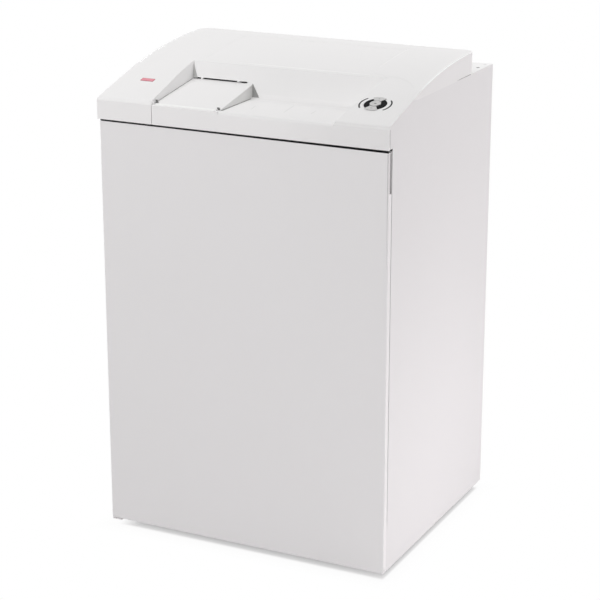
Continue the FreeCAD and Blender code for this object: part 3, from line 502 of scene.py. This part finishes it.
def shaded_corner(name, light, dark):
    """Matt grey painted as the shade of a corner that little light reaches."""
    material, blank, shader = begin(name, Specular_IOR_Level=0.2)
    where = place_on(blank)
    grain = noise(blank, where, 1600.0)
    feed(shader, "Base Color", tint(blank, noise(blank, where, 90.0), light, dark))
    feed(shader, "Roughness", 0.6 + 0.1 * grain)
    feed(shader, "Normal", bump(blank, grain, 0.00003, 0.4))
    return material


def corner_shade(name, edges, material):
    """Triangle of painted shade between a wall and the ramp; edges give depth, left edge and width.
    """
    rows = [[ramp_skin(left + wide * t, down, 0.0002) for t in shares(6)]
            for down, left, wide in edges]
    ramp_up = (0.0, -math.sin(RAMP), math.cos(RAMP))
    plate_over(name, rows, ramp_up, 0.0002, material, "cabinet")


corner_shade_dark = shaded_corner("corner_shade_dark", (0.27, 0.27, 0.265), (0.33, 0.33, 0.325))
edges = []
for t in shares(14):
    down = between(-0.0012, 0.0306, t)
    edges.append((down, divider_x(ramp_skin(0.0, down, 0.0).z), between(0.0004, 0.0162, t)))
corner_shade("divider_corner_shade", edges, corner_shade_dark)
corner_shade_pale = shaded_corner("corner_shade_pale", (0.43, 0.43, 0.425), (0.49, 0.49, 0.48))
edges = [(between(-0.0355, -0.0019, t), between(-0.2058, -0.1958, t), between(0.0004, 0.0110, t))
         for t in shares(14)]
corner_shade("wall_corner_shade", edges, corner_shade_pale)

LIP_FRONT, LIP_HEIGHT = -0.2735, 0.93302
CLIMB = 24.9 / 170.5


def tray_floor(y):
    return LIP_HEIGHT + (y - LIP_FRONT) * CLIMB


def foot_line(name, x, y0, y1, wide, height, material):
    """Painted shadow along the foot of a wall, wider at the front."""
    rows = []
    for t in shares(24):
        y = between(y0, y1, t ** 1.6)
        w = wide * (0.45 + 0.55 * math.exp(-(y - y0) / 0.040))
        rows.append([(x - 0.0003, y, height(y)), (x + w, y, height(y))])
    plate_over(name, rows, UP, 0.00010, material, "cabinet")


shade_line_dark = grained_plastic("shade_line_dark", (0.09, 0.09, 0.088), (0.14, 0.14, 0.137), 0.6, gloss=0.15)
foot_line("foot_wall", -0.1955, -0.2560, -0.1050, 0.0015, tray_floor, shade_line_dark)
# The ledge beside the divider's foot is painted dark at the wall and fades out: painted shade.
crevice_painted_shade, blank, shader = begin("crevice_painted_shade", Specular_IOR_Level=0.2)
where = place_on(blank)
clear = grade(blank, measure(blank, where, "X"), -0.0460, -0.0398)
feed(shader, "Base Color", tint(blank, clear, (0.10, 0.10, 0.098), (0.79, 0.79, 0.78)))
feed(shader, "Roughness", 0.5 + 0.1 * noise(blank, where, 1600.0))
foot_line("foot_divider", DIVIDER_FOOT, -0.2580, -0.1330, 0.0066, lambda y: LEDGE + 0.00002,
          crevice_painted_shade)


def small_block(name, low, high, lean, material):
    """Little block with rounded edges between two corners; lean shifts its top."""
    points = []
    for z, dx, dy in ((low[2], 0.0, 0.0), (high[2], lean[0], lean[1])):
        points += [(low[0] + dx, low[1] + dy, z), (high[0] + dx, low[1] + dy, z),
                   (high[0] + dx, high[1] + dy, z), (low[0] + dx, high[1] + dy, z)]
    faces = [(3, 2, 1, 0), (4, 5, 6, 7), (0, 1, 5, 4), (1, 2, 6, 5), (2, 3, 7, 6), (3, 0, 4, 7)]
    piece = add_piece(name, points, faces, material, "cabinet")
    edge = piece.modifiers.new("edge", "BEVEL")
    edge.width = 0.0004
    edge.segments = 3


# The divider's face is painted grey, darker towards the rear: painted shade.
divider_face_shade, blank, shader = begin("divider_face_shade", Specular_IOR_Level=0.3)
where = place_on(blank)
rear = grade(blank, measure(blank, where, "Y"), -0.225, -0.125)
grain = noise(blank, where, 1600.0, 3.0, 0.6)
feed(shader, "Base Color", tint(blank, rear, (0.755, 0.75, 0.745), (0.655, 0.65, 0.64)))
feed(shader, "Roughness", 0.46 + 0.10 * grain)
feed(shader, "Normal", bump(blank, grain, 0.00003, 0.4))
CLEAR = 0.0002
FOOT_REACH = 0.0168
rows = []
for t in shares(32):
    y = between(-0.2560, -0.1060, t)
    low = LEDGE + CLEAR
    if y > FOOT_Y:
        drop = math.sqrt(FOOT_ROUND ** 2 - min(y - FOOT_Y, FOOT_REACH) ** 2)
        low = max(low, FOOT_Z + CLEAR - drop, SLOT_Z + (y - SLOT_Y) * math.tan(RAMP) + CLEAR)
    high = max(tray_floor(y) - 0.0009, low + 0.0001)
    rows.append([(divider_x(z), y, z) for z in (low, 0.5 * (low + high), high)])
plate_over("divider_face", rows, (0.9205, 0, 0.3907), 0.00008, divider_face_shade, "cabinet")
# Small dark blocks at the front ends of the wall and the divider are painted shade.
end_shade_dark = grained_plastic("end_shade_dark", (0.15, 0.15, 0.148), (0.20, 0.20, 0.197), 0.6, gloss=0.15)
small_block("wall_end_shade", (-0.1928, -0.2572, 0.9345), (-0.1888, -0.2545, 0.9418), (-0.0022, 0.0),
            end_shade_dark)
small_block("end_wall", (-0.1990, -0.2690, 0.9335), (-0.1930, -0.2572, 0.9392), (-0.0022, 0.0008),
            top_white)
small_block("divider_end_shade", (-0.0524, -0.2600, 0.9338), (-0.0474, -0.2570, 0.9398), (-0.0016, 0.0),
            end_shade_dark)
small_block("end_divider", (-0.0565, -0.2680, 0.9330), (-0.0500, -0.2590, 0.9364),
            (-0.0010, 0.0008), top_white)
# The low bead along the tray's front edge is paler than the moulding: painted highlight.
bead_highlight_white = grained_plastic("bead_highlight_white", (0.89, 0.89, 0.88), (0.87, 0.87, 0.86), 0.36)
profile = [(between(-0.2650, -0.2570, c), 0.0006 * math.sin(math.pi * c)) for c in shares(6)]
rows = [[(between(-0.1915, -0.0570, t), y, tray_floor(y) + rise) for y, rise in profile]
        for t in shares(20)]
plate_over("tray_bead_highlight", rows, UP, 0.0001, bead_highlight_white, "cabinet")
for number, x in ((1, -0.1771), (2, -0.0930)):
    y = ramp_skin(x, -0.0008, 0.0002).y
    small_block("slot_nib_%d" % number, (x, y, 0.9587), (x + 0.0052, y + 0.0035, 0.9612),
                (0.0, 0.0014), top_white)
line_grey, blank, shader = begin("line_grey", Specular_IOR_Level=0.2)
where = place_on(blank)
feed(shader, "Base Color",
     tint(blank, noise(blank, where, 300.0), (0.66, 0.66, 0.65), (0.72, 0.72, 0.71)))
feed(shader, "Roughness", 0.5 + 0.1 * noise(blank, where, 1600.0))
WIDTH_LINES = ((-0.006, -0.187, 0.001, -0.220), (0.062, -0.153, 0.072, -0.218),
               (0.122, -0.176, 0.126, -0.207))
for number, (x0, y0, x1, y1) in enumerate(WIDTH_LINES, 1):
    rows = []
    for t in shares(6):
        x, y = between(x0, x1, t), between(y0, y1, t)
        half = 0.0006 * math.sin(math.pi * between(0.12, 0.88, t)) ** 0.5
        rows.append([(x - half, y, LEDGE), (x + half, y, LEDGE)])
    plate_over("width_line_%d" % number, rows, UP, 0.00012, line_grey, "cabinet")

CREST_Y, CREST_Z, DOME_ROUND = 0.150, 1.012, 1.171
LID_SIDE, LID_FRONT, LID_REAR = 0.18765, -0.06485, 0.12015
SHELL_SIDE, SHOULDER = 0.3200, 0.9673
FILL_SINK, FILL_HALF, FILL_THICK = 0.00012, 0.00014, 0.0001
SHOULDER_FRONT, SHOULDER_REAR = -0.143, 0.140


def dome(y):
    """Height of the dome's crest arc."""
    return CREST_Z - DOME_ROUND + math.sqrt(DOME_ROUND ** 2 - (y - CREST_Y) ** 2)


def seam_strip(name, path, half):
    """White filler that closes a thin seam just under the surface; half its width is a vector."""
    half = Vector(half)
    rows = [[Vector(p) - half, Vector(p) + half] for p in path]
    plate_over(name, rows, (0, 0, -1), FILL_THICK, top_white, "cabinet")


for number, x in ((1, -LID_SIDE), (2, LID_SIDE)):
    path = [(x, y, dome(y) - FILL_SINK) for y in (between(-0.0649, 0.1202, t) for t in shares(30))]
    seam_strip("lid_seam_side_%d" % number, path, (FILL_HALF, 0, 0))
for number, y in ((1, LID_FRONT), (2, LID_REAR)):
    path = [(between(-0.1876, 0.1876, t), y, dome(y) - FILL_SINK) for t in shares(12)]
    seam_strip("lid_seam_end_%d" % number, path, (0, FILL_HALF, 0))
for number, side in ((1, -1.0), (2, 1.0)):
    path = [(side * 0.3191, between(SHOULDER_FRONT, SHOULDER_REAR, t), 0.96728)
            for t in shares(20)]
    seam_strip("shoulder_seam_%d" % number, path, (0.0005, 0, 0))
# Strips along the dome's side edges are paler and glossier than the moulding: painted highlight.
edge_gloss_and_highlight, blank, shader = begin("edge_gloss_and_highlight", Specular_IOR_Level=0.6, Coat_Weight=1.0,
                                  Coat_Roughness=0.12)
where = place_on(blank)
highlight_cloud = noise(blank, where, 320.0, 3.0)
feed(shader, "Base Color", tint(blank, highlight_cloud, (0.95, 0.95, 0.945), (0.92, 0.92, 0.915)))
feed(shader, "Roughness", 0.24 + 0.10 * highlight_cloud)
EDGE_PROFILE = ((0.32002, -0.0013), (0.31985, -0.0005), (0.3195, -0.00015), (0.3190, 0.00002),
                (0.3163, 0.00002))
for hand, side in HANDS:
    rows = [[(side * x, y, dome(y) + drop) for x, drop in EDGE_PROFILE]
            for y in (between(-0.1100, 0.1450, t) for t in shares(36))]
    plate_over("dome_edge_highlight_" + hand, rows, (side * 0.7, 0, 0.7), 0.00012, edge_gloss_and_highlight, "cabinet")
    rows = [[(side * SHELL_SIDE, between(-0.1400, 0.0680, t), z) for z in (0.9662, 0.9684)]
            for t in shares(24)]
    plate_over("shoulder_fill_" + hand, rows, (side, 0, 0), 0.00008, top_white, "cabinet")
    # Dark strips along the rear of the shoulder seams are painted shade.
    rows = []
    for t in shares(12):
        half = 0.00010 + 0.00042 * t ** 0.5
        rows.append([(side * SHELL_SIDE, between(0.0700, 0.1440, t), z)
                     for z in (SHOULDER - half, SHOULDER + half)])
    plate_over("shoulder_gap_" + hand, rows, (side, 0, 0), PAINT_THICK, shade_line_dark, "cabinet")
# Pale strips along the lid's right and front seams are painted highlight.
GLEAM_LIFT, GLEAM_THICK = 0.00003, 0.00004
GLEAM_SIDE, GLEAM_FRONT = 0.1880, -0.0654
lid_gleam = grained_plastic("lid_gleam", (0.91, 0.905, 0.90), (0.89, 0.885, 0.88), 0.4)
rows = []
for t in shares(30):
    y = between(-0.022, 0.125, t)
    w = 0.0022 * math.sin(math.pi * between(0.06, 0.94, t)) ** 0.5
    rows.append([(x, y, dome(y) + GLEAM_LIFT) for x in (GLEAM_SIDE, GLEAM_SIDE + w)])
plate_over("lid_gleam_side", rows, UP, GLEAM_THICK, lid_gleam, "cabinet")
rows = []
for t in shares(40):
    w = 0.0030 * math.sin(math.pi * between(0.05, 0.95, t)) ** 0.5
    rows.append([(between(-0.105, 0.187, t), y, dome(y) + GLEAM_LIFT)
                 for y in (GLEAM_FRONT - w, GLEAM_FRONT - 0.5 * w, GLEAM_FRONT)])
plate_over("lid_gleam_front", rows, UP, GLEAM_THICK, lid_gleam, "cabinet")
# A slightly darker strip along the dome's crease is painted shade.
crease_shade_white = grained_plastic("crease_shade_white", (0.808, 0.799, 0.798), (0.793, 0.784, 0.783), 0.46)
CREASE = ((0.192, -0.0545), (0.2036, -0.0602), (0.2180, -0.0634), (0.2306, -0.0654),
          (0.2440, -0.0664), (0.2560, -0.0690), (0.2720, -0.0780), (0.2872, -0.0903),
          (0.3000, -0.1070))
rows = []
for k, (x, middle) in enumerate(CREASE):
    w = 0.0036 * math.sin(math.pi * (k + 0.5) / len(CREASE)) ** 0.5
    rows.append([(x - 0.4 * w, y, dome(y) + GLEAM_LIFT)
                 for y in (middle + w * share for share in (-1.0, -0.33, 0.33, 1.0))])
plate_over("dome_crease_shade", rows, UP, GLEAM_THICK, crease_shade_white, "cabinet")

# Dial and badge: two black crescent keys and silver tabs round a dished silver button, set in the
# sloping right block. Printed arcs flank the dial and small pointers stand on the silver.
# The badge let into the left block is a bare plate of red plastic with a darker rim.
DIAL = Vector((0.255, -0.1894, 0.96207))
TILT = math.radians(15.5)
DIAL_UP = Vector((0.0, -math.sin(TILT), math.cos(TILT)))
TAB_TOP, BUTTON_TOP, PRINT = 0.00181, 0.00171, 0.00008
key_black = grained_plastic("key_black", (0.008, 0.008, 0.009), (0.014, 0.014, 0.015), 0.5, 1800.0,
                            gloss=0.03)
dress(key_black, "key_left", "key_right")
silver, blank, shader = begin("silver", Metallic=0.35, Specular_IOR_Level=0.3)
where = place_on(blank)
flake = noise(blank, where, 2600.0, 2.0, 0.7)
feed(shader, "Base Color", tint(blank, flake, (0.52, 0.515, 0.51), (0.60, 0.595, 0.59)))
feed(shader, "Roughness", 0.42 + 0.14 * flake)
feed(shader, "Normal", bump(blank, flake, 0.00001, 0.4))
dress(silver, "control_base", "stop_button")
soften(0.0004, "control_base", "stop_button", "key_left", "key_right", steps=2, angle=50.0)
print_ink = grained_plastic("print_ink", (0.016, 0.016, 0.017), (0.030, 0.030, 0.032), 0.6, 900.0,
                            0.00001, 0.15)
print_grey = grained_plastic("print_grey", (0.16, 0.16, 0.16), (0.22, 0.22, 0.22), 0.6, 900.0,
                             0.00001, 0.15)


def on_dial(u, v, lift):
    """Point on the dial's tilted face, from its middle."""
    return DIAL + Vector((u, v * math.cos(TILT), v * math.sin(TILT))) + DIAL_UP * lift


ARC_ROUND, ARC_SPAN = 0.0318, 82.0
for name, middle in (("arc_right", 0.0), ("arc_left", 180.0)):
    rows = []
    for t in shares(32):
        turn = math.radians(middle + ARC_SPAN * (t - 0.5))
        half = 0.00155 * min(1.0, 0.7 + 3.2 * math.sin(math.pi * t))
        rows.append([on_dial(r * math.cos(turn), r * math.sin(turn), 0.00002)
                     for r in (ARC_ROUND - half, ARC_ROUND + half)])
    plate_over(name, rows, DIAL_UP, 0.0001, print_ink, "cabinet")
rows = []
for t in shares(48):
    turn = 2.0 * math.pi * t
    rows.append([on_dial(r * math.cos(turn), r * math.sin(turn), TAB_TOP)
                 for r in (0.0110, 0.0122)])
plate_over("button_ring", rows, DIAL_UP, 0.00006, print_ink, "cabinet")


def pointer(name, v, size, turn):
    """Small arrowhead printed on a silver tab."""
    rows = []
    for t in shares(6):
        row = []
        for half in (-0.9 * size * (1.0 - t), 0.9 * size * (1.0 - t)):
            du = half * math.cos(turn) - (t - 0.4) * size * math.sin(turn)
            dv = half * math.sin(turn) + (t - 0.4) * size * math.cos(turn)
            row.append(on_dial(du, v + dv, TAB_TOP))
        rows.append(row)
    plate_over(name, rows, DIAL_UP, PRINT, print_grey, "cabinet")


pointer("mark_upper", 0.0200, 0.0022, 0.0)
pointer("mark_lower", -0.0200, 0.0022, math.pi)
MARK_LONG, MARK_HALF = 0.0030, 0.0016
rows = []
for t in shares(12):
    reach = between(-1.0, 1.0, t)
    half = MARK_HALF * math.sqrt(max(1.0 - reach * reach, 0.02))
    rows.append([on_dial(reach * MARK_LONG, v, BUTTON_TOP) for v in (-half, half)])
plate_over("mark_button", rows, DIAL_UP, PRINT, print_grey, "stop_button")
BADGE_X, BADGE_Y, FIELD_HALF_X, FIELD_HALF_Y = -0.2554, -0.18335, 0.0137, 0.0041
badge_red, blank, shader = begin("badge_red", Specular_IOR_Level=0.55, Coat_Roughness=0.06)
where = place_on(blank)
depth = noise(blank, where, 60.0)
across = abs(measure(blank, where, "X") - BADGE_X) - FIELD_HALF_X
along = abs(measure(blank, where, "Y") - BADGE_Y) - FIELD_HALF_Y
rim = blank.join("MAXIMUM", across, along) > 0.0
field = tint(blank, depth, (0.68, 0.15, 0.21), (0.74, 0.19, 0.25))
edge = tint(blank, depth, (0.40, 0.05, 0.09), (0.46, 0.07, 0.11))
feed(shader, "Base Color", tint(blank, rim, field, edge))
feed(shader, "Roughness", 0.22 + 0.08 * noise(blank, where, 700.0))
feed(shader, "Coat Weight", 0.5 + 0.3 * depth)
dress(badge_red, "badge_plate")
soften(0.0004, "badge_plate", steps=2)

# Camera: a long lens at the photograph's viewing angle, from the right and above.
# It stands about four metres off, so the cabinet's upright edges stay nearly parallel.
lens = bpy.data.cameras.new("camera")
camera = bpy.data.objects.new("camera", lens)
bpy.context.scene.collection.objects.link(camera)
camera.location = (1.72893, -3.49942, 1.72780)
camera.rotation_euler = (math.radians(90 - 17.777), 0.0, math.radians(26.296))
lens.sensor_width = 36.0
lens.lens = 114.948
lens.clip_start = 0.05
lens.clip_end = 60.0
bpy.context.scene.camera = camera

# Studio: a white floor that runs out of sight, with soft round lamps on every side of the cabinet.
# Eye, mirrors and glass see the floor and the surround as clean white; close to the cabinet the
# floor keeps its shadow, dark under the base and fading out in a trace around it.
bpy.ops.mesh.primitive_plane_add(size=30.0)
floor = bpy.context.object
floor.name = "floor"
floor_white, blank, shader = begin("floor_white", Roughness=0.9, Specular_IOR_Level=0.0)
where = place_on(blank)
cloud = noise(blank, where, 2.0)
feed(shader, "Base Color", tint(blank, cloud, (0.915, 0.893, 0.900), (0.925, 0.903, 0.910)))


def seen(blank):
    """One where a ray comes from the camera, a mirror or glass, and nought where it only lights."""
    eye = blank.make("LightPath", {}, {}, "Is Camera Ray")
    mirror = blank.make("LightPath", {}, {}, "Is Glossy Ray")
    glass = blank.make("LightPath", {}, {}, "Is Transmission Ray")
    return blank.join("MINIMUM", eye + mirror + glass, 1.0)


SHADOW_MOST, SHADOW_TRACE, TRACE_REACH = 0.85, 0.05, 0.04
SHADE_LEFT, SHADE_FRONT, SHADE_SIDE = -0.262, 0.2393, 0.308
END_FRONT, END_SIDE = 0.2650, 0.3175
BASE_HALF_WIDE, BASE_HALF_DEEP = 0.32, 0.27
across = measure(blank, where, "X")
# share of the shadow that shows: each edge fades gently at first and steeply at its end
left = 0.60 + 12.0 * (across - SHADE_LEFT)
across, along = abs(across), abs(measure(blank, where, "Y"))
front = blank.join("MINIMUM", 0.60 - 9.0 * (along - SHADE_FRONT), 48.0 * (END_FRONT - along))
side = blank.join("MINIMUM", 0.52 - 33.0 * (across - SHADE_SIDE), 130.0 * (END_SIDE - across))
under = blank.join("MINIMUM", blank.join("MINIMUM", front, side),
                   blank.join("MINIMUM", left, SHADOW_MOST))
outside = blank.join("MAXIMUM", across - BASE_HALF_WIDE, along - BASE_HALF_DEEP)
trace = SHADOW_TRACE * blank.join("MINIMUM", 1.0 - outside / TRACE_REACH, 1.0)
share = blank.join("MAXIMUM", blank.join("MAXIMUM", under, trace), 0.0)
white = blank.make("Emission", {}, {"Color": (1.0, 1.0, 1.0, 1.0), "Strength": 1.0})
lit = Shade(blank.tree, shader.outputs[0])
mixed = blank.make("MixShader", {}, {0: seen(blank) * (1.0 - share), 1: lit, 2: white})
feed(floor_white.node_tree.nodes["Material Output"], "Surface", mixed)
floor.data.materials.append(floor_white)
floor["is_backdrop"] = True
SURROUND = 0.41
world = bpy.data.worlds.new("surround")
bpy.context.scene.world = world
world.use_nodes = True
sky = world.node_tree.nodes["Background"]
sky.inputs["Color"].default_value = (1.0, 1.0, 1.0, 1.0)
feed(sky, "Strength", SURROUND + seen(Shade(world.node_tree)) * (1.0 - SURROUND))


def lamp(name, at, aim, size, power, colour=(1.0, 1.0, 1.0)):
    """Round soft lamp that the camera does not see; power in watts."""
    light = bpy.data.lights.new(name, "AREA")
    light.shape = "DISK"
    light.size = size
    light.energy = power
    light.color = colour
    holder = bpy.data.objects.new(name, light)
    bpy.context.scene.collection.objects.link(holder)
    holder.location = at
    holder.rotation_euler = (Vector(aim) - Vector(at)).to_track_quat("-Z", "Y").to_euler()
    holder.visible_camera = False


ROSY = (1.0, 0.955, 0.972)
lamp("right_low", (3.0, -0.2, 0.40), (0.32, 0, 0.45), 0.8, 12.0, ROSY)
lamp("right_high", (2.0, 0.5, 1.30), (0.32, 0.15, 0.90), 0.8, 1.5, ROSY)
lamp("right_foot", (0.95, 0.0, 0.06), (0.32, 0, 0.2), 0.5, 1.39, ROSY)
lamp("front_foot", (0.50, -1.00, 0.06), (0.28, -0.27, 0.12), 0.4, 0.28)
lamp("front", (0.3, -4.2, 2.0), (0, 0, 0.6), 2.5, 41.0)
lamp("front_left", (-2.6, -3.2, 1.6), (0, 0, 0.6), 2.5, 7.5)
lamp("left_near", (-1.2, -1.2, 2.2), (0, -0.1, 0.9), 0.8, 8.3)
lamp("top_left", (-1.0, -0.2, 2.3), (0, 0, 0.95), 0.8, 4.2)
lamp("back_right", (0.8, 1.6, 2.6), (0, 0, 0.95), 1.0, 24.4)
lamp("left_low", (-3.0, 0.2, 0.5), (-0.32, 0, 0.45), 0.8, 13.0)
lamp("back_low", (0.2, 3.2, 0.7), (0, 0.27, 0.5), 0.8, 13.0)
bpy.context.scene.view_settings.view_transform = "Standard"

low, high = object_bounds()
